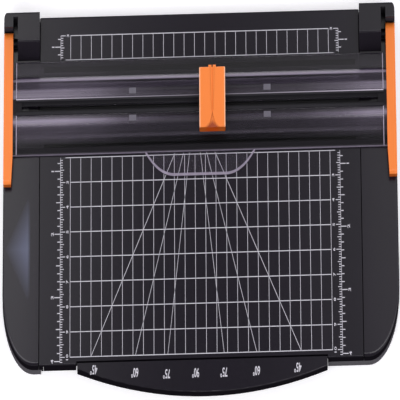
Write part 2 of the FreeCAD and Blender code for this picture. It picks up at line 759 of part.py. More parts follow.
# ---------------------------------------------------------------- cutting head
def make_carriage():
    """Runner: shoe in the track, neck, plate over the crests and two spring posts."""
    x = head_x
    shoe_half_y = track_half - track_wall - run_gap
    part = box(x - shoe_half, x + shoe_half, cut_y - shoe_half_y, cut_y + shoe_half_y, shoe_bottom,
               neck_bottom)
    part = part.fuse(box(x - shoe_half, x + shoe_half, cut_y - neck_half, cut_y + neck_half, neck_bottom,
                         plate_bottom))
    part = part.fuse(box(x - plate_half_x, x + plate_half_x, cut_y - plate_half_y, cut_y + plate_half_y,
                         plate_bottom, plate_top))
    for sign in (-1, 1):
        part = part.fuse(rod(post_radius, x + sign * post_x, cut_y, plate_top, plate_top + post_height))
    slot_y = holder_half_y + holder_slot_gap - 0.05
    ledge = shoe_bottom + holder_foot_height + 0.2
    part = part.cut(box(x - holder_half_x - holder_slot_gap, x + holder_half_x + holder_slot_gap,
                        cut_y - slot_y, cut_y + slot_y, shoe_bottom - 1, plate_top + 1))
    part = part.cut(box(x - holder_foot_half - holder_slot_gap, x + holder_foot_half + holder_slot_gap,
                        cut_y - slot_y, cut_y + slot_y, shoe_bottom - 1, ledge))
    return part.removeSplitter()


def make_head_spring(sign):
    """Coil spring round a post; its ends stop short of the plate and the shell."""
    low = plate_top + spring_wire / 2 + 0.05
    height = ceiling_z - plate_top - spring_wire - 0.1
    helix = Part.makeHelix(height / spring_turns, height, spring_radius)
    helix.translate(Vec(head_x + sign * post_x, cut_y, low))
    start = Vec(head_x + sign * post_x + spring_radius, cut_y, low)
    profile = Part.Wire(Part.makeCircle(spring_wire / 2, start, Vec(0, 1, 0)))
    return Part.Wire(helix).makePipeShell([profile], True, True)


def make_head_shell(sign):
    """Half of the orange cover, split along the seam; drawn whole, then cut."""
    x, r = head_x, head_edge_radius
    shell = box(x - head_half_x, x + head_half_x, cut_y - head_half_y, cut_y + head_half_y, skirt_z, head_top)
    shell = fillet(shell, r, lambda m, e: m.z > head_top - 0.01 or
                   (abs(abs(m.x - x) - head_half_x) < 0.01 and abs(abs(m.y - cut_y) - head_half_y) < 0.01))
    inner_x, inner_y = head_half_x - head_wall, head_half_y - head_wall - 0.1
    shell = shell.cut(box(x - inner_x, x + inner_x, cut_y - inner_y, cut_y + inner_y, skirt_z - 1, ceiling_z))
    shell = shell.cut(box(x - head_half_x - 1, x + head_half_x + 1, cut_y - inner_y, cut_y + inner_y,
                          skirt_z - 1, arch_z))
    ears = [box(x + s * 2.1 - 1.5, x + s * 2.1 + 1.5, cut_y + head_half_y - 2.0, cut_y + head_half_y + 0.8,
                head_top - 3.0, head_top) for s in (-1, 1)]
    for ear in ears:
        ear = fillet(ear, 0.5, lambda m, e: m.z > head_top - 0.01 and m.y > cut_y + head_half_y + 0.7)
        shell = shell.fuse(ear)
    front = cut_y - head_half_y
    shell = shell.cut(prism_z([(x, front + 6.2), (x - 3.6, front - 0.1), (x + 3.6, front - 0.1)],
                              head_top - 1.1, head_top + 1))
    for s in (-1, 1):
        shell = shell.cut(prism_z([(x + s * 1.9, cut_y + head_half_y), (x + s * 2.2, cut_y + head_half_y),
                                   (x + s * 1.2, front + 7.0), (x + s * 0.9, front + 7.0)],
                                  head_top - 0.35, head_top + 1))
    seam = prism_y([(x - 0.3, head_top + 0.1), (x + 0.3, head_top + 0.1), (x, head_top - 0.5)],
                   cut_y - head_half_y - 2, cut_y + head_half_y + 2)
    shell = shell.cut(seam)
    limits = (x, x + head_half_x + 1) if sign > 0 else (x - head_half_x - 1, x)
    shell = shell.common(box(*limits, cut_y - head_half_y - 2, cut_y + head_half_y + 2, 0, head_top + 2))
    return shell.removeSplitter()


def make_blade_holder():
    """Plate through the carriage, with a head under the shells' ceiling and a foot that stops the lift."""
    x = head_x
    back = cut_y + holder_half_y - blade_thick
    foot_z = shoe_bottom - 0.1
    holder = box(x - holder_half_x, x + holder_half_x, cut_y - holder_half_y, back, foot_z, ceiling_z)
    holder = holder.fuse(box(x - holder_foot_half, x + holder_foot_half, cut_y - holder_half_y, back, foot_z,
                             foot_z + holder_foot_height))
    holder = holder.fuse(box(x - holder_half_x, x + holder_half_x, cut_y - holder_head_half_y,
                             cut_y + holder_head_half_y, ceiling_z - holder_head_height, ceiling_z))
    holder = holder.cut(blade_blank(0.1))
    return holder.cut(rivet_blank(0.05)).removeSplitter()


def blade_blank(grow):
    """Double-edged blade, its point down; grow clears it in the holder."""
    x, half = head_x, blade_half_width + grow
    shoulder = blade_tip_z + blade_taper
    points = [(x - half, blade_top + grow), (x - half, shoulder), (x - blade_tip_half, blade_tip_z),
              (x + blade_tip_half, blade_tip_z), (x + half, shoulder), (x + half, blade_top + grow)]
    return prism_y(points, cut_y + holder_half_y - blade_thick, cut_y + holder_half_y)


def rivet_blank(grow):
    """Rivet through holder and blade."""
    return Part.makeCylinder(rivet_radius + grow, holder_half_y * 2 + 0.8,
                             Vec(head_x, cut_y - holder_half_y - 0.4, rivet_z), Vec(0, 1, 0))


def make_blade():
    """Steel blade."""
    return blade_blank(0.0).cut(rivet_blank(0.05))


# ---------------------------------------------------------------- the whole trimmer
def make_screw_group(places, tip_z):
    """Equal screws as one group of solids."""
    return Part.makeCompound([screw(x, y, screw_head_z, tip_z) for x, y in both_sides(places)])


def build():
    """Every node of the trimmer, by name."""
    nodes = {"base_tray": make_base_tray(), "deck": make_deck(), "cutting_mat": make_cutting_mat(),
             "ruler_pivot": make_ruler_pivot(), "ruler_washer": make_ruler_washer(),
             "ruler_arm": make_ruler_arm(), "guide_rail": make_guide_rail(),
             "rail_track": make_rail_track(), "sight_window": make_sight_window(),
             "carriage": make_carriage(), "blade_holder": make_blade_holder(), "blade": make_blade(),
             "blade_rivet": rivet_blank(0.0), "arm_screws": make_arm_screws()}
    for row, sign in (("back", 1), ("front", -1)):
        nodes[f"grip_strip_{row}"] = make_grip_strip(sign)
    for name, side in SIDES.items():
        nodes[f"wing_{name}"] = make_wing(side)
        nodes[f"tower_{name}"] = make_tower(side)
        nodes[f"hinge_pin_{name}"] = make_hinge_pin(side)
        nodes[f"rail_end_{name}"] = make_rail_end(side)
        nodes[f"side_arm_{name}"] = make_side_arm(side)
        nodes[f"head_spring_{name}"] = make_head_spring(side)
        nodes[f"head_shell_{name}"] = make_head_shell(side)
    for i, place in enumerate(foot_places(), start=1):
        nodes[f"foot_{i}"] = make_foot(place)
    for name, place in clip_places().items():
        nodes[f"track_clip_{name}"] = make_clip(place)
    nodes["deck_screws"] = make_screw_group(deck_screw_places, boss_top + screw_bite - screw_tip_gap)
    nodes["wing_screws"] = make_screw_group(wing_screw_places, boss_top + screw_bite - screw_tip_gap)
    nodes["tower_screws"] = make_screw_group([tower_screw_place], tower_seat + screw_bite - screw_tip_gap)
    return nodes


def main():
    """Build, report and export every node."""
    os.makedirs("parts", exist_ok=True)
    for name, shape in sorted(build().items()):
        bound = shape.BoundBox
        print(f"{name:24s} solids {len(shape.Solids)} valid {shape.isValid()} volume {shape.Volume:10.1f} "
              f"x {bound.XMin:7.1f} {bound.XMax:7.1f} y {bound.YMin:7.1f} {bound.YMax:7.1f} "
              f"z {bound.ZMin:6.1f} {bound.ZMax:6.1f}")
        shape.exportStep(f"parts/{name}.step")


main()
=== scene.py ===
"""Looks of a sliding paper trimmer: finishes, printed rulers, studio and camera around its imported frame.

Lengths in the classes are millimetres, and SCALE turns them to metres. Colours are sRGB hex. Places called
ahead are distances from the cut line to the rear edge, so the ruler's side is negative. A share runs from 0 to 1.
"""

import logging
import math
from dataclasses import dataclass, field
from enum import Enum
from functools import cache, partial
from typing import Callable

import bpy
import numpy as np
from mathutils import Matrix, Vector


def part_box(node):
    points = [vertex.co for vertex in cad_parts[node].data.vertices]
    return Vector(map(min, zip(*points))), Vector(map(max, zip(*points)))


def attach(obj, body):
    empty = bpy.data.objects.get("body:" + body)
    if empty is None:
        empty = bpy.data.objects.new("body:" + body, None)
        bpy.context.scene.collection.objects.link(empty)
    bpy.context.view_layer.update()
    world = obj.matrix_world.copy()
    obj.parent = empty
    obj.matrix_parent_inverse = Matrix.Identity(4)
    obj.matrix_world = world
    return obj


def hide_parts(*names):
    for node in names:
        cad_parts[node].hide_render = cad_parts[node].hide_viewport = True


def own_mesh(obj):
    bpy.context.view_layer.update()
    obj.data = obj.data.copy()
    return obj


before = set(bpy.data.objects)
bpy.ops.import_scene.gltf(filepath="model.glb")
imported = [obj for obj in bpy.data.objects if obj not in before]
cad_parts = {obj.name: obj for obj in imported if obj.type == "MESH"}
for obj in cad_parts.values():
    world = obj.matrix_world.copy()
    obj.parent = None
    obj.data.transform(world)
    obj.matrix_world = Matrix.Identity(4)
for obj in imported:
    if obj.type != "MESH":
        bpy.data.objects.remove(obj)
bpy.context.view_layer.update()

SCALE = 0.001
log = logging.getLogger("paper_trimmer")
Node = bpy.types.Node
# what a link starts from; a node stands for the first of its outputs that is in use
Signal = bpy.types.NodeSocket | Node
# add_node for one tree, called add
Adder = Callable[..., Node]


# -------- colours and nodes
def linear(hex_colour: str) -> tuple[float, float, float, float]:
    """Turns an sRGB hex colour to linear.

    Args:
        hex_colour: six hex digits, such as "FF8C46".

    Returns:
        Linear red, green, blue and an alpha of 1. Each channel is c/12.92 below 0.04045 and
        ((c+0.055)/1.055)^2.4 above it.
    """
    srgb = np.array([int(hex_colour[i:i + 2], 16) for i in (0, 2, 4)]) / 255
    values = np.where(srgb <= 0.04045, srgb / 12.92, ((srgb + 0.055) / 1.055) ** 2.4)
    return (*values.tolist(), 1.0)


def add_node(tree: bpy.types.NodeTree, kind: str, inputs: dict | tuple = (), **settings) -> Node:
    """Adds one node with its settings, its values and its links.

    Args:
        tree: the node tree.
        kind: the node's type name without ShaderNode.
        inputs: a value or a signal for each socket, by its name or number, or for the first sockets in order.
        settings: properties of the node itself.

    Returns:
        The new node.
    """
    made = tree.nodes.new(f"ShaderNode{kind}")
    for name, value in settings.items():
        setattr(made, name, value)
    for name, value in inputs.items() if isinstance(inputs, dict) else enumerate(inputs):
        if isinstance(value, Node):
            value = next(output for output in value.outputs if output.enabled)
        if isinstance(value, bpy.types.NodeSocket):
            tree.links.new(value, made.inputs[name])
        else:
            made.inputs[name].default_value = value
    return made


def empty_nodes(owner: bpy.types.Material | bpy.types.World) -> Adder:
    """Empties the nodes of a material or a world.

    Args:
        owner: the material or the world.

    Returns:
        add_node for its tree.
    """
    owner.use_nodes = True
    owner.node_tree.nodes.clear()
    return partial(add_node, owner.node_tree)


def add_ramp(add: Adder, value: Signal, span: tuple, stops: tuple) -> Signal:
    """Adds a piecewise straight function of a value.

    Args:
        add: adds a node.
        value: the value.
        span: the values at the two ends of the function.
        stops: pairs of a value and the result there, from 0 to 1.

    Returns:
        The result.
    """
    share = add("MapRange", (value, span[0], span[1]))
    made = add("ValToRGB", {"Fac": share})
    elements = made.color_ramp.elements
    for _ in range(len(stops) - len(elements)):
        elements.new(0.5)
    for element, (place, level) in zip(elements, stops):
        element.position = (place - span[0]) / (span[1] - span[0])
        element.color = (level, level, level, 1.0)
    return made


def new_object(name: str, data: bpy.types.ID | None) -> bpy.types.Object:
    """Makes an object and links it to the scene.

    Args:
        name: its name.
        data: its mesh, curve, light or camera; none for an empty.

    Returns:
        The object.
    """
    made = bpy.data.objects.new(name, data)
    bpy.context.scene.collection.objects.link(made)
    return made


def cut_line() -> float:
    """Place of the cut line along Y, millimetres: the middle of the cutting mat."""
    low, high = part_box("cutting_mat")
    return (low.y + high.y) / 2 / SCALE


def grain_frequency(size_mm: float) -> float:
    """Texture scale, in waves per metre, of a pattern that repeats every size_mm."""
    return 1.0 / (size_mm * SCALE)


# -------- marks on a finish: painted light and shade
RAIL_REACH = 180.0      # painted highlights along the rail are given between minus and plus this X
AHEAD_REACH = 20.0      # the veil and the band across it are given between minus and plus this place ahead
MIX_PLAIN, MIX_OVER = 6, 7      # a Mix node's sockets for two colours


@dataclass(frozen=True)
class Mark:
    """Coloured mark on a finish: painted light or shade."""

    def layers(self, add: Adder, parts: Node) -> list[tuple[Signal, str]]:
        """Works out the mark's layers.

        Args:
            add: adds a node.
            parts: node whose outputs X, Y and Z are the place, metres.

        Returns:
            Each layer's share and its colour, from the lowest up.
        """
        raise NotImplementedError

    def blend(self, add: Adder, place: Signal, plain: Signal) -> Signal:
        """Mixes the layers over a colour.

        Args:
            add: adds a node.
            place: the place on the piece.
            plain: the colour beneath.

        Returns:
            The mixed colour.
        """
        parts = add("SeparateXYZ", (place,))
        for share, colour in self.layers(add, parts):
            plain = add("Mix", {"Factor": share, MIX_PLAIN: plain, MIX_OVER: linear(colour)}, data_type="RGBA")
        return plain


@dataclass(frozen=True)
class PaintedSheen(Mark):
    """Painted sheen: a soft triangle of reflected light lying on its side, strongest at its base, gone at its
    point and its flanks.

    Attributes:
        point_x, base_x: X of its point and of its base.
        ahead: place of its middle line.
        half: half length of the base.
        fade: length over which it ends behind the base.
    """
    colour: str
    point_x: float
    base_x: float
    ahead: float
    half: float
    fade: float = 3.0

    def layers(self, add: Adder, parts: Node) -> list[tuple[Signal, str]]:
        """Works out the sheen: its share is run - |offset|, cut off behind the base.

        Args:
            add, parts: as Mark has them.

        Returns:
            The one layer.
        """
        run = add("MapRange", (parts.outputs["X"], self.point_x * SCALE, self.base_x * SCALE))
        middle = (cut_line() + self.ahead) * SCALE
        offset = add("MapRange", (parts.outputs["Y"], middle, middle + self.half * SCALE), clamp=False)
        flank = add("Math", (offset,), operation="ABSOLUTE")
        inside = add("Math", (run, flank), operation="SUBTRACT", use_clamp=True)
        cut_off = add("MapRange", (parts.outputs["X"], self.base_x * SCALE, (self.base_x + self.fade) * SCALE, 1.0,
                                   0.0))
        return [(add("Math", (inside, cut_off), operation="MULTIPLY"), self.colour)]


@dataclass(frozen=True)
class PaintedEdgeHighlight(Mark):
    """Painted highlight: a pale line along X where an edge catches the light, stronger towards the ends.

    Attributes:
        first, last: places ahead between which it lies.
        middle: its share at the middle of its length; at the ends it is 1.
    """
    colour: str
    first: float
    last: float
    middle: float

    def layers(self, add: Adder, parts: Node) -> list[tuple[Signal, str]]:
        """Works out the line: its share is middle + (1 - middle) x^2 / RAIL_REACH^2.

        Args:
            add, parts: as Mark has them.

        Returns:
            The one layer.
        """
        line = add("Math", (parts.outputs["Y"], (cut_line() + (self.first + self.last) / 2) * SCALE,
                            (self.last - self.first) / 2 * SCALE), operation="COMPARE")
        squared = add("Math", (parts.outputs["X"], parts.outputs["X"]), operation="MULTIPLY")
        grown = add("MapRange", (squared, 0.0, (RAIL_REACH * SCALE) ** 2, self.middle))
        return [(add("Math", (line, grown), operation="MULTIPLY"), self.colour)]


@dataclass(frozen=True)
class PaintedCoverLight(Mark):
    """Painted highlights on the rims along both sides of the head's cover, and painted shade in the dark dip over
    its seam at the front.

    Attributes:
        rim, dip: their colours: the rims' painted highlight and the dip's painted shade.
        dip_length: how far the dip runs back from the front.
        dip_half: half its width at the front.
        dip_strength: its share per unit of run - |offset|.
    """
    rim: str
    dip: str
    rim_width: float = 1.2
    rim_share: float = 0.75
    dip_length: float = 3.4
    dip_half: float = 8.0
    dip_strength: float = 2.0

    def layers(self, add: Adder, parts: Node) -> list[tuple[Signal, str]]:
        """Works out the rims' painted highlight and the dip's painted shade.

        A rim's share grows over its width, near the top alone. The dip's is dip_strength times run - |offset|,
        where run grows from 0 behind it to 1 at the front, and offset is 1 at dip_half from the seam.

        Args:
            add, parts: as Mark has them.

        Returns:
            The rims' layer and the dip's.
        """
        low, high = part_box("head_shell_left")[0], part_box("head_shell_right")[1]
        middle, half, rim_width = (low.x + high.x) / 2, (high.x - low.x) / 2, self.rim_width * SCALE
        aside = add("Math", (parts.outputs["X"], middle), operation="SUBTRACT")
        aside = add("Math", (aside,), operation="ABSOLUTE")
        rim = add("MapRange", (aside, half - rim_width, half - rim_width / 2, 0.0, self.rim_share))
        near_top = add("MapRange", (parts.outputs["Z"], high.z - rim_width, high.z - rim_width / 2))
        rim = add("Math", (rim, near_top), operation="MULTIPLY")
        run = add("MapRange", (parts.outputs["Y"], low.y + self.dip_length * SCALE, low.y))
        offset = add("Math", (aside, 1 / (self.dip_half * SCALE)), operation="MULTIPLY")
        inside = add("Math", (run, offset), operation="SUBTRACT", use_clamp=True)
        dip = add("Math", (inside, self.dip_strength), operation="MULTIPLY", use_clamp=True)
        return [(rim, self.rim), (dip, self.dip)]


# -------- finishes
NOISE_LOW, NOISE_HIGH = 0.3, 0.7        # nearly all values of a noise texture lie between them


@dataclass(frozen=True)
class MouldedPlastic:
    """Injection-moulded plastic: an even colour with faint clouding, and a fine spark-eroded grain.

    Attributes:
        roughness_spread: share by which the grain varies the roughness.
        grain_mm, grain_depth_mm: size of the grain and its height for the bump.
        cloud_mm, clouding: size of the clouding, and share by which it varies the colour.
        shine: specular level, 0.5 for what the refractive index alone gives.
        matt_wall_and_shade: colour of upright walls that keep the tool's coarse texture and have no shine; none
            where
        they look like the rest. On the orange parts it is a darker orange: painted shade.
        wall_tilt: the surface normal's Z below which it is such a wall, and above which it isn't.
        mark: a painted sheen, highlight or shade on it, if any.
    """
    name: str
    colour: str
    roughness: float = 0.4
    roughness_spread: float = 0.12
    grain_mm: float = 0.6
    grain_depth_mm: float = 0.01
    cloud_mm: float = 35.0
    clouding: float = 0.08
    ior: float = 1.53
    shine: float = 0.5
    matt_wall_and_shade: str = ""
    wall_tilt: tuple = (0.1, 0.45)
    mark: Mark | None = None

    def body(self, add: Adder, place: Signal, shade: Signal, colour: str) -> Signal:
        """A colour with the clouding and the mark's painted light or shade on it.

        Args:
            add: adds a node.
            place: the place on the piece.
            shade: the clouding's factor.
            colour: the plain colour, sRGB hex.

        Returns:
            The colour.
        """
        clouded = add("VectorMath", {0: linear(colour)[:3], "Scale": shade}, operation="SCALE")
        return self.mark.blend(add, place, clouded) if self.mark else clouded

    def material(self) -> bpy.types.Material:
        """Builds the material: colour times slow noise, roughness and bump from fine noise.

        Returns:
            The material.
        """
        material = bpy.data.materials.new(self.name)
        add = empty_nodes(material)
        place = add("TexCoord").outputs["Object"]
        slow = add("TexNoise", {"Vector": place, "Scale": grain_frequency(self.cloud_mm), "Detail": 2.0})
        fine = add("TexNoise", {"Vector": place, "Scale": grain_frequency(self.grain_mm), "Detail": 3.0})
        shade = add("MapRange", (slow, NOISE_LOW, NOISE_HIGH, 1 - self.clouding, 1 + self.clouding))
        rough = add("MapRange", (fine, NOISE_LOW, NOISE_HIGH, self.roughness * (1 - self.roughness_spread),
                                 self.roughness * (1 + self.roughness_spread)))
        bump = add("Bump", {"Height": fine, "Strength": 0.5, "Distance": self.grain_depth_mm * SCALE})
        surface = add("BsdfPrincipled", {"Base Color": self.body(add, place, shade, self.colour),
                                         "Roughness": rough, "Normal": bump, "IOR": self.ior,
                                         "Specular IOR Level": self.shine})
        if self.matt_wall_and_shade:
            wall = add("BsdfDiffuse", {"Color": self.body(add, place, shade, self.matt_wall_and_shade), "Roughness": 0.8})
            normal = add("TexCoord").outputs["Normal"]
            tilt = add("SeparateXYZ", {"Vector": normal}).outputs["Z"]
            flat = add("MapRange", (tilt, self.wall_tilt[0], self.wall_tilt[1]))
            surface = add("MixShader", (flat, wall, surface))
        add("OutputMaterial", {"Surface": surface})
        return material


# share of the painted end highlight along the rail, as pairs of X and share: full at the left end, faint in the
# middle, strong again at the right end
END_GROWTH = ((-180.0, 1.0), (-130.0, 1.0), (-100.0, 0.7), (-75.0, 0.28), (-33.0, 0.08), (40.0, 0.06),
              (98.0, 0.12), (139.0, 0.4), (163.0, 0.8), (180.0, 0.85))
NONE_ACROSS = ((-20.0, 0.0), (20.0, 0.0))


@dataclass(frozen=True)
class ClearPlastic:
    """Extruded clear plastic with a smoke tint; faint draw lines along X from the die, a veil of haze and painted
    highlights, and a dark band.

    Attributes:
        tint: colour that a wall lets through.
        haze_and_highlight: pairs of a place ahead and the veil's share there, the same all along; haze on the
        window, painted highlight on the rail.
        end_highlight: the same, for the further veil, a painted highlight that grows towards the ends.
        band: the same, for the share of a black band under the wall; on the rail it is painted shade under the
            front flange's edge.
        edge_z, edge_soft: height above which the veil, a painted highlight on a raised rim, has at least
            edge_share, give or take edge_soft.
        end_x, end_soft: distance from the middle beyond which it has at least end_share, give or take end_soft.
        veil, black: colours of the scattered light and of the band.
        line_mm, line_depth_mm: spacing and height of the draw lines.
        line_pull: spacing of the lines' noise across them against along them.
    """
    name: str
    tint: str
    haze_and_highlight: tuple
    end_highlight: tuple = NONE_ACROSS
    band: tuple = NONE_ACROSS
    edge_z: float = 99.0
    edge_share: float = 0.25
    edge_soft: float = 0.1
    end_x: float = 999.0
    end_share: float = 0.3
    end_soft: float = 0.3
    veil: str = "B8AEC0"
    black: str = "120F15"
    roughness: float = 0.05
    line_mm: float = 1.4
    line_depth_mm: float = 0.0003
    line_pull: float = 0.004
    ior: float = 1.49

    def across(self, add: Adder, place: Signal, stops: tuple) -> Signal:
        """Adds a function of the place ahead of the cut line.

        Args:
            add: adds a node.
            place: the place on the piece.
            stops: pairs of a place ahead and the value there.

        Returns:
            The value.
        """
        parts = add("SeparateXYZ", (place,))
        ahead = add("MapRange", (parts.outputs["Y"], (cut_line() - AHEAD_REACH) * SCALE,
                                 (cut_line() + AHEAD_REACH) * SCALE, -AHEAD_REACH, AHEAD_REACH))
        return add_ramp(add, ahead, (-AHEAD_REACH, AHEAD_REACH), stops)

    def veil_share(self, add: Adder, place: Signal, lines: Signal) -> Signal:
        """Works out the veil: haze and painted highlights, or the raised rim's painted highlight or the sawn ends
        where they have more, varied by the lines.

        Args:
            add: adds a node.
            place: the place on the piece.
            lines: noise of the draw lines.

        Returns:
            The veil's share.
        """
        parts = add("SeparateXYZ", (place,))
        along = add("MapRange", (parts.outputs["X"], -RAIL_REACH * SCALE, RAIL_REACH * SCALE, -RAIL_REACH,
                                 RAIL_REACH))
        grown = add("Math", (self.across(add, place, self.end_highlight),
                             add_ramp(add, along, (-RAIL_REACH, RAIL_REACH), END_GROWTH)), operation="MULTIPLY")
        haze_highlight_share = add("Math", (self.across(add, place, self.haze_and_highlight), grown), operation="ADD")
        edge = add("MapRange", (parts.outputs["Z"], (self.edge_z - self.edge_soft) * SCALE,
                                (self.edge_z + self.edge_soft) * SCALE, 0.0, self.edge_share))
        side = add("Math", (parts.outputs["X"],), operation="ABSOLUTE")
        end = add("MapRange", (side, (self.end_x - self.end_soft) * SCALE, (self.end_x + self.end_soft) * SCALE,
                               0.0, self.end_share))
        most = add("Math", (haze_highlight_share, edge), operation="MAXIMUM")
        most = add("Math", (most, end), operation="MAXIMUM")
        vary = add("MapRange", (lines, NOISE_LOW, NOISE_HIGH, 0.8, 1.2))
        return add("Math", (most, vary), operation="MULTIPLY")

    def material(self) -> bpy.types.Material:
        """Builds the material: glass under a veil for the eye, plain tint for light that passes beneath.

        Returns:
            The material.
        """
        material = bpy.data.materials.new(self.name)
        add = empty_nodes(material)
        place = add("TexCoord").outputs["Object"]
        drawn = add("Mapping", {"Vector": place, "Scale": (self.line_pull, 1.0, 1.0)})
        lines = add("TexNoise", {"Vector": drawn, "Scale": grain_frequency(self.line_mm), "Detail": 2.0})
        bump = add("Bump", {"Height": lines, "Strength": 0.2, "Distance": self.line_depth_mm * SCALE})
        rough = add("MapRange", (lines, 0.0, 1.0, self.roughness * 0.6, self.roughness * 1.4))
        glass = add("BsdfPrincipled", {"Base Color": linear(self.tint), "Transmission Weight": 1.0,
                                       "IOR": self.ior, "Roughness": rough, "Normal": bump})
        scatter = add("BsdfPrincipled", {"Base Color": linear(self.veil), "Roughness": 0.5,
                                         "Specular IOR Level": 0.2})
        black = add("BsdfPrincipled", {"Base Color": linear(self.black), "Roughness": 0.3,
                                       "Specular IOR Level": 0.25})
        banded = add("MixShader", (self.across(add, place, self.band), glass, black))
        veiled = add("MixShader", (self.veil_share(add, place, lines), banded, scatter))
        passing = add("BsdfTransparent", {"Color": linear(self.tint)})
        shadow = add("LightPath").outputs["Is Shadow Ray"]
        mixed = add("MixShader", (shadow, veiled, passing))
        add("OutputMaterial", {"Surface": mixed})
        return material


@dataclass(frozen=True)
class GroundSteel:
    """Steel, ground or zinc-plated: bright metal with fine scratches across it.

    Attributes:
        roughness_spread: share by which the marks vary the roughness.
        scratch_mm, scratch_depth_mm: spacing and depth of the grinding marks.
        scratch_pull: their spacing against their length.
    """
    name: str
    colour: str = "B9BABD"
    roughness: float = 0.3
    roughness_spread: float = 0.3
    scratch_mm: float = 0.25
    scratch_depth_mm: float = 0.004
    scratch_pull: float = 0.05

    def material(self) -> bpy.types.Material:
        """Builds the material: metal with noise drawn out along Z for the grinding marks.

        Returns:
            The material.
        """
        material = bpy.data.materials.new(self.name)
        add = empty_nodes(material)
        place = add("TexCoord").outputs["Object"]
        drawn = add("Mapping", {"Vector": place, "Scale": (1.0, 1.0, self.scratch_pull)})
        marks = add("TexNoise", {"Vector": drawn, "Scale": grain_frequency(self.scratch_mm), "Detail": 3.0})
        rough = add("MapRange", (marks, 0.0, 1.0, self.roughness * (1 - self.roughness_spread),
                                 self.roughness * (1 + self.roughness_spread)))
        bump = add("Bump", {"Height": marks, "Strength": 0.3, "Distance": self.scratch_depth_mm * SCALE})
        shader = add("BsdfPrincipled", {"Base Color": linear(self.colour), "Metallic": 1.0, "Roughness": rough,
                                        "Normal": bump})
        add("OutputMaterial", {"Surface": shader})
        return material


# painted highlights across the rail, from its front edge to its rear edge: the front flange's edge, the crests and
# the rear step
RAIL_HIGHLIGHTS = ((-20.0, 0.6), (-19.0, 0.55), (-18.8, 0.1), (-18.5, 0.0), (-12.6, 0.0), (-12.2, 0.06),
             (-11.7, 0.06), (-11.3, 0.01), (-7.2, 0.01), (-6.2, 0.02), (-5.2, 0.018), (-4.6, 0.015),
             (-3.4, 0.015), (-2.9, 0.0), (3.4, 0.0), (3.6, 0.05), (4.6, 0.04), (5.3, 0.02), (6.4, 0.0),
             (10.3, 0.0), (10.7, 0.42), (11.5, 0.42), (11.9, 0.02), (12.6, 0.01), (18.4, 0.01), (19.1, 0.05))
# painted highlights on the crests and flanges, grown towards the rail's ends by END_GROWTH
RAIL_END_HIGHLIGHTS = ((-14.5, 0.0), (-12.8, 0.06), (-11.0, 0.05), (-8.5, 0.08), (-7.4, 0.25), (-6.6, 0.5),
                 (-5.8, 0.5), (-5.1, 0.3), (-4.0, 0.06), (-2.8, 0.0), (3.0, 0.0), (3.4, 0.3),
                 (6.3, 0.32), (7.4, 0.08), (10.0, 0.08), (12.5, 0.0), (14.0, 0.02), (18.5, 0.0))
# dark band under the front flange's edge: painted shade beneath the rail
RAIL_SHADE_BAND = ((-18.7, 0.9), (-16.6, 0.9), (-15.8, 0.0), (20.0, 0.0))
# black block between the crests of an end cap
CAP_BAND = ((-3.5, 0.0), (-3.3, 1.0), (3.3, 1.0), (3.5, 0.0))
# thin haze all over the window
WINDOW_HAZE = ((-20.0, 0.008), (20.0, 0.008))


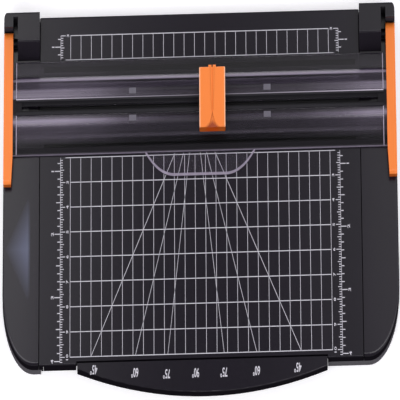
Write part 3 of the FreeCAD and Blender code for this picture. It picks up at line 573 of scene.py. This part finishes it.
class Finishes(Enum):
    """Every finish on the trimmer, named for the real material."""
    # black ABS, fine-textured tool: soft, slightly violet black
    DECK = MouldedPlastic("black_abs_fine_textured", "120D18", roughness=0.2, shine=0.49,
                          grain_depth_mm=0.001, matt_wall_and_shade="121014", wall_tilt=(0.5, 0.98))
    # same resin from a polished tool, with a painted reflection: a soft bluish sheen on the left panel
    WING = MouldedPlastic("black_abs_polished", "18131D", roughness=0.2, grain_depth_mm=0.001,
                          matt_wall_and_shade="121014", wall_tilt=(0.5, 0.97),
                          mark=PaintedSheen("565A70", point_x=-188.0, base_x=-166.0, ahead=-56.4, half=21.0))
    # same resin, walls left from the mould's coarse texture
    TOWER = MouldedPlastic("black_abs_tower", "16121A", roughness=0.2, grain_depth_mm=0.001,
                           matt_wall_and_shade="302D32")
    # dyed ABS from an eroded tool: plain mid grey
    TRAY = MouldedPlastic("grey_abs_textured", "454347", roughness=0.5, matt_wall_and_shade="454347")
    # dyed ABS: bright warm orange with a satin shine; its upright walls are painted a darker orange as shade
    ORANGE = MouldedPlastic("orange_abs_satin", "F68434", roughness=0.34, clouding=0.03, matt_wall_and_shade="9C4C1C")
    # same resin, with painted highlights along the sides and painted shade over the seam at the front; its upright
    # walls are painted a darker orange as shade
    COVER = MouldedPlastic("orange_abs_cover_painted_light", "F68434", roughness=0.34, clouding=0.03,
                           matt_wall_and_shade="9C4C1C", mark=PaintedCoverLight(rim="FFCDA6", dip="A24012"))
    # PMMA extrusion: smoke tint; painted highlights on the flange's edges, the steps and the crests, and painted
    # shade under the front flange
    SMOKE = ClearPlastic("smoke_acrylic_extruded", "8A8392", haze_and_highlight=RAIL_HIGHLIGHTS, end_highlight=RAIL_END_HIGHLIGHTS,
                         band=RAIL_SHADE_BAND, end_x=176.9, end_share=1.0, roughness=0.15)
    # end caps of the same PMMA, with the same painted highlights
    CAP = ClearPlastic("smoke_acrylic_cap", "5D5663", haze_and_highlight=RAIL_HIGHLIGHTS, end_highlight=RAIL_END_HIGHLIGHTS,
                       band=CAP_BAND, roughness=0.15)
    # PMMA, moulded: almost clear, with its raised rim painted brighter as a highlight
    CLEAR = ClearPlastic("clear_acrylic_moulded", "FBFAFC", haze_and_highlight=WINDOW_HAZE, edge_z=17.9, edge_share=0.54,
                         roughness=0.015)
    # PVC channel: flat black, with a painted highlight along its upper rear edge
    TRACK = MouldedPlastic("black_pvc_extruded", "17151B", roughness=0.45, shine=0.3,
                           mark=PaintedEdgeHighlight("C4BDCA", first=2.9, last=3.5, middle=0.3))
    # acetal: waxy black
    ACETAL = MouldedPlastic("black_acetal_moulded", "17161A", roughness=0.38, ior=1.48)
    # polycarbonate snap clips: pale
    CLIP = MouldedPlastic("pale_polycarbonate_clip", "65626B", roughness=0.3)
    # polypropylene strip: waxy dark grey
    MAT = MouldedPlastic("dark_polypropylene_mat", "0F0E11", roughness=0.5, ior=1.49)
    # nylon washer: milky white
    NYLON = MouldedPlastic("natural_nylon_washer", "DCD9CF", roughness=0.45)
    # moulded rubber: dull black
    RUBBER = MouldedPlastic("black_rubber_moulded", "161616", roughness=0.8, grain_depth_mm=0.02)
    # elastomer strips, dyed like the deck
    GRIP = MouldedPlastic("black_elastomer_strip", "1C1822", roughness=0.6, shine=0.3)
    # zinc-plated screws and small fittings: light grey metal
    STEEL = GroundSteel("zinc_plated_steel")
    # hardened pins, blackened
    PIN = GroundSteel("black_oxide_steel", "1B1B1E", roughness=0.4)
    # hardened blade, finely ground: bright
    BLADE = GroundSteel("ground_blade_steel", "C9CACC", roughness=0.2)
    # drawn spring wire: darker grey metal
    WIRE = GroundSteel("music_wire", "9C9DA0", roughness=0.35)
    # pad-printed ink: off-white, slightly raised
    INK = MouldedPlastic("off_white_pad_printed_ink", "CFCDD3", roughness=0.6, grain_depth_mm=0.002,
                         clouding=0.05)


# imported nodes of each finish
NODE_FINISHES = {
    Finishes.DECK: "deck ruler_arm",
    Finishes.WING: "wing_left wing_right",
    Finishes.TOWER: "tower_left tower_right",
    Finishes.TRAY: "base_tray",
    Finishes.ORANGE: "side_arm_left side_arm_right",
    Finishes.COVER: "head_shell_left head_shell_right",
    Finishes.SMOKE: "guide_rail",
    Finishes.CLEAR: "sight_window",
    Finishes.TRACK: "rail_track",
    Finishes.ACETAL: "carriage",
    Finishes.CAP: "rail_end_left rail_end_right",
    Finishes.CLIP: "track_clip_left_back track_clip_left_front track_clip_right_back track_clip_right_front",
    Finishes.MAT: "cutting_mat",
    Finishes.NYLON: "ruler_washer",
    Finishes.RUBBER: "foot_1 foot_2 foot_3 foot_4",
    Finishes.GRIP: "grip_strip_back grip_strip_front",
    Finishes.STEEL: "ruler_pivot blade_holder blade_rivet deck_screws wing_screws tower_screws arm_screws",
    Finishes.PIN: "hinge_pin_left hinge_pin_right",
    Finishes.BLADE: "blade",
    Finishes.WIRE: "head_spring_left head_spring_right",
}


@dataclass
class Workshop:
    """Keeps one material per finish and dresses meshes with them."""
    made: dict = field(default_factory=dict)

    def material(self, finish: Finishes) -> bpy.types.Material:
        """Finds the material of a finish, built when first asked for.

        Args:
            finish: the finish.

        Returns:
            Its material.
        """
        if finish not in self.made:
            self.made[finish] = finish.value.material()
        return self.made[finish]

    def dress_nodes(self) -> None:
        """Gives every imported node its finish."""
        for finish, names in NODE_FINISHES.items():
            for name in names.split():
                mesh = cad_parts[name].data
                mesh.materials.clear()
                mesh.materials.append(self.material(finish))
        log.info("dressed %d packed nodes", len(" ".join(NODE_FINISHES.values()).split()))

    def piece(self, name: str, points: np.ndarray, faces: list, finish: Finishes, body: str) -> bpy.types.Object:
        """Makes a mesh piece that rides on a body.

        Args:
            name: piece name.
            points: n by 3 array of places in the row frame, millimetres.
            faces: corner numbers of each face.
            finish: its finish.
            body: the body that it rides on.

        Returns:
            The new object.
        """
        mesh = bpy.data.meshes.new(name)
        mesh.from_pydata((points * SCALE).tolist(), [], faces)
        mesh.update()
        mesh.materials.append(self.material(finish))
        made = new_object(name, mesh)
        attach(made, body)
        log.info("%s: %d faces on %s", name, len(faces), body)
        return made


def in_mm(box: tuple) -> np.ndarray:
    """Low and high corner of a box in metres, as rows in millimetres."""
    return np.array([list(corner) for corner in box]) / SCALE


# -------- springs
@dataclass
class HeadSpring:
    """Coil spring under one half of the head, which shortens as the head is pressed.

    Attributes:
        side: left or right.
        wire: diameter of the wire.
        travel: how far the head goes down; not used.
        steps, corners: rings of the tube per turn, and corners of each ring.
    """
    side: str
    wire: float = 0.5
    turns: int = 5
    travel: float = 3.0
    steps: int = 36
    corners: int = 10

    def tube(self, radius: float, height: float) -> tuple[np.ndarray, list]:
        """Carries a ring along a helix, from the origin up.

        The wire's middle at t from 0 to 1 is (r cos a, r sin a, h t) with a = 2 pi turns t. Round it goes a ring
        of half the wire's diameter, in the plane of the outward direction and the direction across the wire.

        Args:
            radius: of the wire's middle.
            height: from its first ring to its last.

        Returns:
            Points (n by 3) and faces, with both ends closed.
        """
        share = np.linspace(0.0, 1.0, self.turns * self.steps + 1)[:, None]
        angle = 2 * math.pi * self.turns * share
        bend = 2 * math.pi * np.arange(self.corners)[None] / self.corners
        out = np.dstack([np.cos(angle), np.sin(angle), np.zeros_like(angle)])
        run = np.dstack([-radius * np.sin(angle), radius * np.cos(angle),
                         np.full_like(angle, height / (2 * math.pi * self.turns))])
        across = np.cross(out, run / np.linalg.norm(run, axis=2, keepdims=True))
        middle = np.dstack([radius * np.cos(angle), radius * np.sin(angle), height * share])
        points = middle + self.wire / 2 * (np.cos(bend)[..., None] * out + np.sin(bend)[..., None] * across)
        first = np.arange(len(points) - 1)[:, None] * self.corners
        corner = np.arange(self.corners)[None]
        beside = (corner + 1) % self.corners
        faces = np.dstack([first + corner, first + corner + self.corners, first + beside + self.corners,
                           first + beside]).reshape(-1, 4).tolist()
        last = (len(points) - 1) * self.corners
        faces += [list(range(self.corners)), [last + i for i in reversed(range(self.corners))]]
        return points.reshape(-1, 3), faces

    def build(self, shop: Workshop) -> None:
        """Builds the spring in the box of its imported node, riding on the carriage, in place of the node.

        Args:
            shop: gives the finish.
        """
        node = f"head_spring_{self.side}"
        low, high = in_mm(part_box(node))
        length = high[2] - low[2]
        points, faces = self.tube((high[0] - low[0] - self.wire) / 2, length - self.wire)
        points += [(low[0] + high[0]) / 2, (low[1] + high[1]) / 2, low[2] + self.wire / 2]
        made = shop.piece(f"coil_spring_{self.side}", points, faces, Finishes.WIRE, "carriage")
        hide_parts(node)
        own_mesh(made)


# -------- print
@dataclass
class Ink:
    """Collects printed lines and characters as thin closed solids.

    Attributes:
        low, high: heights of the ink's underside and of its top.
    """
    low: float
    high: float
    points: list = field(default_factory=list)
    faces: list = field(default_factory=list)
    count: int = 0

    def lines(self, x0: float | np.ndarray, ahead0: float | np.ndarray, x1: float | np.ndarray,
              ahead1: float | np.ndarray, width: float) -> None:
        """Adds straight lines.

        A line from s to e of width w has the corners s-n, e-n, e+n and s+n, where n is the unit normal of
        e-s times w/2, once at the underside and once at the top.

        Args:
            x0, ahead0: start of each line; any of the four may be one number for all lines.
            x1, ahead1: its end.
            width: width of the lines.
        """
        places = np.column_stack(np.broadcast_arrays(*np.atleast_1d(x0, ahead0, x1, ahead1))).astype(float)
        starts, ends = places[:, :2], places[:, 2:]
        along = ends - starts
        along /= np.linalg.norm(along, axis=1, keepdims=True)
        side = np.stack([-along[:, 1], along[:, 0]], 1) * (width / 2)
        ring = np.stack([starts - side, ends - side, ends + side, starts + side], 1)
        ring[:, :, 1] += cut_line()
        flat = np.concatenate([np.dstack([ring, np.full(ring.shape[:2], z)]) for z in (self.low, self.high)], 1)
        pattern = np.array([[0, 3, 2, 1], [4, 5, 6, 7], [0, 1, 5, 4], [1, 2, 6, 5], [2, 3, 7, 6], [3, 0, 4, 7]])
        base = self.count + 8 * np.arange(len(starts))
        self.points.append(flat.reshape(-1, 3))
        self.faces.extend((pattern[None] + base[:, None, None]).reshape(-1, 4).tolist())
        self.count += 8 * len(starts)

    def text(self, words: str, x: float, ahead: float, height: float, turn: float) -> None:
        """Adds characters, centred on a place.

        Args:
            words: the characters.
            x, ahead: the centre.
            height: height of the characters.
            turn: degrees, anticlockwise from above.
        """
        outline, faces = glyphs(words)
        flat = outline[:, :2] - (outline[:, :2].max(0) + outline[:, :2].min(0)) / 2
        flat *= height / np.ptp(outline[:, 1])
        angle = math.radians(turn)
        turned = flat @ np.array([[math.cos(angle), math.sin(angle)], [-math.sin(angle), math.cos(angle)]])
        high = np.where(outline[:, 2] > 0, self.high, self.low)
        self.points.append(np.column_stack([turned[:, 0] + x, turned[:, 1] + ahead + cut_line(), high]))
        self.faces.extend([[i + self.count for i in face] for face in faces])
        self.count += len(outline)

    def finish(self, shop: Workshop, name: str, body: str) -> None:
        """Makes the collected print one piece."""
        shop.piece(name, np.concatenate(self.points), self.faces, Finishes.INK, body)


@cache
def glyphs(words: str) -> tuple[np.ndarray, list]:
    """Mesh of a string as a flat solid, one unit thick.

    Args:
        words: the characters.

    Returns:
        Points (n by 3) and faces.
    """
    curve = bpy.data.curves.new("glyph", "FONT")
    curve.body, curve.extrude, curve.resolution_u, curve.offset = words, 0.5, 3, 0.015
    holder = new_object("glyph", curve)
    bpy.context.view_layer.update()
    mesh = bpy.data.meshes.new_from_object(holder.evaluated_get(bpy.context.evaluated_depsgraph_get()))
    points = np.zeros(len(mesh.vertices) * 3)
    mesh.vertices.foreach_get("co", points)
    faces = [list(face.vertices) for face in mesh.polygons]
    bpy.data.objects.remove(holder)
    bpy.data.curves.remove(curve)
    bpy.data.meshes.remove(mesh)
    return points.reshape(-1, 3), faces


def tick_lengths(marks: np.ndarray, whole: int, lengths: tuple) -> np.ndarray:
    """Lengths of a scale's ticks.

    Args:
        marks: number of each tick.
        whole: ticks in a whole unit.
        lengths: length at whole units, at half ones and between.

    Returns:
        The length of each.
    """
    return np.where(marks % whole == 0, lengths[0], np.where(marks % (whole // 2) == 0, lengths[1], lengths[2]))


@dataclass
class DeckPrint:
    """Grid, angle lines and rulers printed on the deck.

    Attributes:
        grid_half, step: half width and spacing of the grid.
        line, across, thin: widths of a grid line that runs ahead, of one along X and of an angle line.
        front_start, front_end, rear_start, rear_end: where the two grids start and stop, ahead.
        spine, front_tail: X of a ruler's spine, and how much further than the grid it goes.
        cm_ticks, inch_ticks: tick lengths at whole units, at half ones and between.
        cm_x, inch_x: distance of the numbers from the middle.
        origin: X of the point on the cut line where the angle lines meet.
        angle_start, angles: distance from the cut line where they start, and their degrees.
        ink_height, ink_sink: how far the ink's top lies above the face, and its underside below it.
    """
    grid_half: float = 125.0
    step: float = 10.0
    line: float = 0.39
    across: float = 0.31
    thin: float = 0.34
    spine: float = 134.5
    front_start: float = -20.0
    front_end: float = -100.0
    front_tail: float = -2.0
    rear_start: float = 20.0
    rear_end: float = 30.0
    inch: float = 25.4
    cm_ticks: tuple = (4.6, 3.4, 2.2)
    inch_ticks: tuple = (5.5, 4.0, 2.8)
    cm_width: float = 0.3
    inch_width: float = 0.35
    cm_x: float = 127.7
    inch_x: float = 142.0
    cm_height: float = 2.1
    inch_height: float = 2.4
    origin: float = -5.0
    angle_start: float = 19.2
    angles: tuple = (45, 60, 75)
    ink_height: float = 0.06
    ink_sink: float = 0.02

    def new_ink(self, top: float) -> Ink:
        """An empty ink layer on a face at height top."""
        return Ink(top - self.ink_sink, top + self.ink_height)

    def grid(self, ink: Ink, first: float, last: float) -> None:
        """Adds the square grid and the two short lines that join it to the rulers' spines.

        Args:
            ink: the layer.
            first: place ahead where the grid starts, with the short lines.
            last: where it stops.
        """
        xs = np.arange(-self.grid_half, self.grid_half + 1, self.step)
        ink.lines(xs, first, xs, last, self.line)
        ys = np.arange(min(first, last), max(first, last) + 1, self.step)
        ink.lines(-self.grid_half, ys, self.grid_half, ys, self.across)
        ends = np.array([-1.0, 1.0])
        ink.lines(ends * self.grid_half, first, ends * self.spine, first, self.across)

    def ruler(self, ink: Ink, side: int, near: float, far: float) -> None:
        """Adds one ruler: spine, millimetre ticks inwards and eighths of an inch outwards.

        Args:
            ink: the layer.
            side: -1 left, 1 right.
            near: start of the scale, counted from the cut line.
            far: its end.
        """
        way = math.copysign(1.0, far)
        x = side * self.spine
        ink.lines(x, near, x, far, self.line)
        marks = np.arange(abs(near), abs(far) + 0.5, 1.0)
        ink.lines(x, way * marks, x - side * tick_lengths(marks, 10, self.cm_ticks), way * marks, self.cm_width)
        eighths = np.arange(math.ceil(abs(near) / self.inch * 8), abs(far) / self.inch * 8)
        places = way * (eighths * self.inch / 8)
        ink.lines(x, places, x + side * tick_lengths(eighths, 8, self.inch_ticks), places, self.inch_width)
        for unit, x, height in (10, self.cm_x, self.cm_height), (self.inch, self.inch_x, self.inch_height):
            for number in range(int(abs(near) // unit) + 1, int(abs(far) // unit) + 1):
                ink.text(str(number), side * x, way * number * unit, height, 90)

    def angle_lines(self, ink: Ink) -> None:
        """Adds the angle lines, which meet on the cut line.

        A point at distance t from the cut line, on a line at angle a, is (origin + t / tan a, -t).

        Args:
            ink: the layer.
        """
        slopes = np.outer(1 / np.tan(np.radians(self.angles)), [-1, 1]).ravel()
        ink.lines(self.origin + self.angle_start * slopes, -self.angle_start,
                  self.origin - self.front_end * slopes, self.front_end, self.thin)

    def build(self, shop: Workshop) -> None:
        """Builds every printed piece of the deck.

        Args:
            shop: gives the finish.
        """
        top = in_mm(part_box("deck"))[1][2]
        front = self.new_ink(top)
        self.grid(front, self.front_start, self.front_end)
        front.finish(shop, "print_grid_front", "base")
        angles = self.new_ink(top)
        self.angle_lines(angles)
        angles.finish(shop, "print_angle_lines", "base")
        rear = self.new_ink(top)
        self.grid(rear, self.rear_start, self.rear_end)
        rear.finish(shop, "print_grid_rear", "base")
        for side, name in ((-1, "left"), (1, "right")):
            ruler = self.new_ink(top)
            self.ruler(ruler, side, self.front_start, self.front_end + self.front_tail)
            self.ruler(ruler, side, self.rear_start, self.rear_end)
            ruler.finish(shop, f"print_ruler_{name}", "base")


@dataclass
class LipPrint(DeckPrint):
    """Angle numbers on the ruler arm's curved lip, and the centimetre scale along its plate.

    With the arm swung out, its plate carries the deck's scale on, so a mark at distance d from the cut line lies
    d - (cut line to pivot) from the pivot.

    Attributes:
        scale_first, scale_last: distances of the scale's ends from the cut line.
        scale_inset: the plate's rear edge to the ticks.
        number_inset: the ticks' start to the middle of the scale's numbers.
        plate_top: the arm's underside to its plate's top face.
        label_xs, label_aheads, label_degrees: the lip's numbers and where they stand.
    """
    scale_first: float = 130.0
    scale_last: float = 345.0
    scale_inset: float = 1.2
    scale_ticks: tuple = (5.0, 3.6, 2.4)
    number_inset: float = 8.6
    number_height: float = 2.6
    plate_top: float = 8.9
    label_xs: tuple = (-102.3, -63.3, -33.1, -5.5, 21.3, 52.3, 91.6)
    label_aheads: tuple = (-105.3, -106.9, -107.7, -107.6, -107.7, -107.5, -106.6)
    label_degrees: tuple = (45, 60, 75, 90, 75, 60, 45)
    label_height: float = 3.9

    def plate_scale(self, shop: Workshop) -> None:
        """Builds the scale along the plate's rear edge, hidden under the deck until the arm swings out.

        Args:
            shop: gives the finish.
        """
        low, high = in_mm(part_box("ruler_arm"))
        pivot = in_mm(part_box("ruler_pivot")).mean(0)
        edge = high[1] - cut_line() - self.scale_inset
        ink = self.new_ink(low[2] + self.plate_top)
        marks = np.arange(self.scale_first, self.scale_last + 0.5, 1.0)
        xs = pivot[0] + marks - (cut_line() - pivot[1])
        ink.lines(xs, edge, xs, edge - tick_lengths(marks, 10, self.scale_ticks), self.cm_width)
        for mark, x in zip(marks[::10], xs[::10]):
            ink.text(f"{mark / 10:.0f}", x, edge - self.number_inset, self.number_height, 90)
        ink.finish(shop, "print_arm_scale", "ruler")

    def build(self, shop: Workshop) -> None:
        """Builds the plate's scale and the lip's numbers.

        Args:
            shop: gives the finish.
        """
        self.plate_scale(shop)
        ink = self.new_ink(in_mm(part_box("ruler_arm"))[1][2])
        for x, ahead, degrees in zip(self.label_xs, self.label_aheads, self.label_degrees):
            ink.text(f"{degrees}\N{DEGREE SIGN}", x, ahead, self.label_height, 180)
        ink.finish(shop, "print_lip_angles", "ruler")


# -------- studio and camera
@dataclass
class Studio:
    """Pale floor lit from beneath as well, soft boxes, and a tent with a dark panel round the camera.

    Attributes:
        floor_glow: light that the floor gives by itself.
        tent_ahead: pairs of a direction's Y and the tent's brightness there.
        tent_aside: pairs of a direction's distance from the YZ plane and the brightness that its sides add.
        boxes: name, middle (m), width and depth (m) and power (W) of each soft box.
    """
    floor_half: float = 60000.0
    floor_glow: float = 0.35
    tent_colour: str = "F2EFF8"
    tent_ahead: tuple = ((-1.0, 1.0), (-0.995, 1.0), (-0.98, 0.3), (-0.55, 0.25), (-0.45, 0.5), (-0.1, 0.5),
                         (-0.02, 0.06), (0.28, 0.08), (0.36, 0.2), (0.7, 0.16), (0.8, 0.12), (0.98, 0.12),
                         (0.995, 1.0), (1.0, 1.0))
    tent_aside: tuple = ((0.0, 0.0), (0.3, 0.0), (0.6, 1.0), (1.0, 1.0))
    boxes: tuple = (
        ("softbox_left_wide", (-0.525, 0.26, 1.3), (0.85, 0.31), 0.98),
        ("softbox_left_end", (-0.555, 0.26, 1.3), (0.79, 0.31), 0.26),
        ("softbox_right_wide", (0.515, 0.26, 1.3), (0.87, 0.31), 0.46),
        ("softbox_right_end", (0.55, 0.26, 1.3), (0.80, 0.31), 0.20),
        ("softbox_front_left", (-0.54, -0.45, 1.25), (0.82, 0.45), 3.7),
        ("softbox_front_right", (0.54, -0.45, 1.25), (0.82, 0.45), 3.0),
        ("softbox_overhead_rear", (0.0, 0.52, 1.3), (1.6, 0.36), 0.9),
        ("softbox_low_rear", (0.0, 2.0, 0.4), (3.0, 0.5), 11.0))

    def build(self) -> None:
        """Builds floor, tent and lights."""
        self.floor()
        self.sky()
        for box in self.boxes:
            self.softbox(*box)

    def floor(self) -> None:
        """Builds a flat matt floor, lit from beneath, not part of the object."""
        half = self.floor_half * SCALE
        mesh = bpy.data.meshes.new("studio_floor")
        mesh.from_pydata([(-half, -half, 0), (half, -half, 0), (half, half, 0), (-half, half, 0)], [],
                         [(0, 1, 2, 3)])
        # matt white paper: even and without shine
        material = bpy.data.materials.new("white_matt_paper_floor")
        add = empty_nodes(material)
        shader = add("BsdfPrincipled", {"Base Color": linear("FAFAFA"), "Roughness": 0.9,
                                        "Specular IOR Level": 0.1, "Emission Color": linear("FFFFFF"),
                                        "Emission Strength": self.floor_glow})
        add("OutputMaterial", {"Surface": shader})
        mesh.materials.append(material)
        made = new_object("studio_floor", mesh)

    def sky(self) -> None:
        """Builds the tent: light that is one function of the direction's Y, and more from both sides."""
        world = bpy.data.worlds.new("studio_tent")
        add = empty_nodes(world)
        parts = add("SeparateXYZ", {"Vector": add("TexCoord").outputs["Generated"]})
        aside = add("Math", (parts.outputs["X"],), operation="ABSOLUTE")
        strength = add("Math", (add_ramp(add, parts.outputs["Y"], (-1.0, 1.0), self.tent_ahead),
                                add_ramp(add, aside, (0.0, 1.0), self.tent_aside)), operation="ADD")
        back = add("Background", {"Color": linear(self.tent_colour), "Strength": strength})
        add("OutputWorld", {"Surface": back})
        bpy.context.scene.world = world

    def softbox(self, name: str, place: tuple, size: tuple, power: float) -> None:
        """Adds one soft box that faces the origin.

        Args:
            name: its name.
            place: its middle, metres.
            size: its width and its depth, metres.
            power: watts.
        """
        light = bpy.data.lights.new(name, "AREA")
        light.shape = "RECTANGLE"
        light.size, light.size_y, light.energy = *size, power
        made = new_object(name, light)
        back = np.array(place, float) / np.linalg.norm(place)
        right = np.cross((0.0, 1.0, 0.0), back)
        right /= np.linalg.norm(right)
        matrix = np.eye(4)
        matrix[:3, :3] = np.column_stack([right, np.cross(back, right), back])
        matrix[:3, 3] = place
        made.matrix_world = Matrix(matrix.tolist())
        made.visible_camera = False


@dataclass
class StretchedCamera:
    """Camera whose picture is drawn out upwards.

    Its axes are x0 to the right, y0 up and z0 back. The up axis is tipped to y = y0 cos a + z0 sin a, so a
    length b along y0 shows as b / cos a, which is the stretch. An empty with the matching uneven scale carries the
    tip; without it the camera shows true proportions.

    Attributes:
        pitch: degrees from straight down towards the ruler's side.
        roll, lean: degrees that the object's width and its depth look turned.
        stretch: height of the picture against true proportions.
        half_view: half of the angle of view, degrees.
        width, aim: width that the picture takes in, and the point in its middle.
        clip: nearest and farthest distance that is drawn, metres.
    """
    pitch: float = 9.5
    roll: float = 0.67
    lean: float = 0.8
    stretch: float = 2.41
    half_view: float = 0.774
    width: float = 384.2
    aim: tuple = (-0.43, 0.14, 15.5)
    sensor: float = 36.0
    clip: tuple = (0.1, 100.0)

    def build(self) -> None:
        """Builds the empty and the camera and makes it the scene's camera.

        The tipped axes are split into turn times scale times turn: the first two go to the empty, and the last
        to the camera.
        """
        pitch, roll, lean = (math.radians(angle) for angle in (self.pitch, self.roll, self.lean))
        tip = math.acos(1 / self.stretch)
        back = np.array([0, -math.sin(pitch), math.cos(pitch)])
        up = np.array([0, math.cos(pitch), math.sin(pitch)])
        right = np.array([1.0, 0, 0])
        turned_right = right * math.cos(roll) - up * math.sin(roll)
        turned_up = right * math.sin(lean) + up * math.cos(lean)
        tipped = turned_up * math.cos(tip) + back * math.sin(tip)
        first, scale, last = np.linalg.svd(np.column_stack([turned_right, tipped, back]))
        if np.linalg.det(first) < 0:
            first, last = -first, -last
        view = math.tan(math.radians(self.half_view))
        distance = self.width * SCALE / 2 / view
        camera = bpy.data.cameras.new("main_camera")
        camera.sensor_width = self.sensor
        camera.lens = self.sensor / 2 / view
        camera.clip_start, camera.clip_end = self.clip
        holder = new_object("camera_stretch", None)
        made = new_object("main_camera", camera)
        matrix, local = np.eye(4), np.eye(4)
        matrix[:3, :3] = first @ np.diag(scale)
        matrix[:3, 3] = np.array(self.aim) * SCALE + back * distance
        local[:3, :3] = last
        holder.matrix_world = Matrix(matrix.tolist())
        made.parent = holder
        made.matrix_parent_inverse = Matrix.Identity(4)
        made.matrix_basis = Matrix(local.tolist())
        bpy.context.scene.camera = made
        log.info("camera %.2f m away, lens %.0f mm", distance, camera.lens)


def main() -> None:
    """Builds the scene in order."""
    logging.basicConfig(level=logging.INFO, format="%(name)s: %(message)s")
    bpy.context.scene.view_settings.view_transform = "Standard"
    shop = Workshop()
    shop.dress_nodes()
    for side in ("left", "right"):
        HeadSpring(side).build(shop)
    DeckPrint().build(shop)
    LipPrint().build(shop)
    Studio().build()
    StretchedCamera().build()


if __name__ == "__main__":
    main()
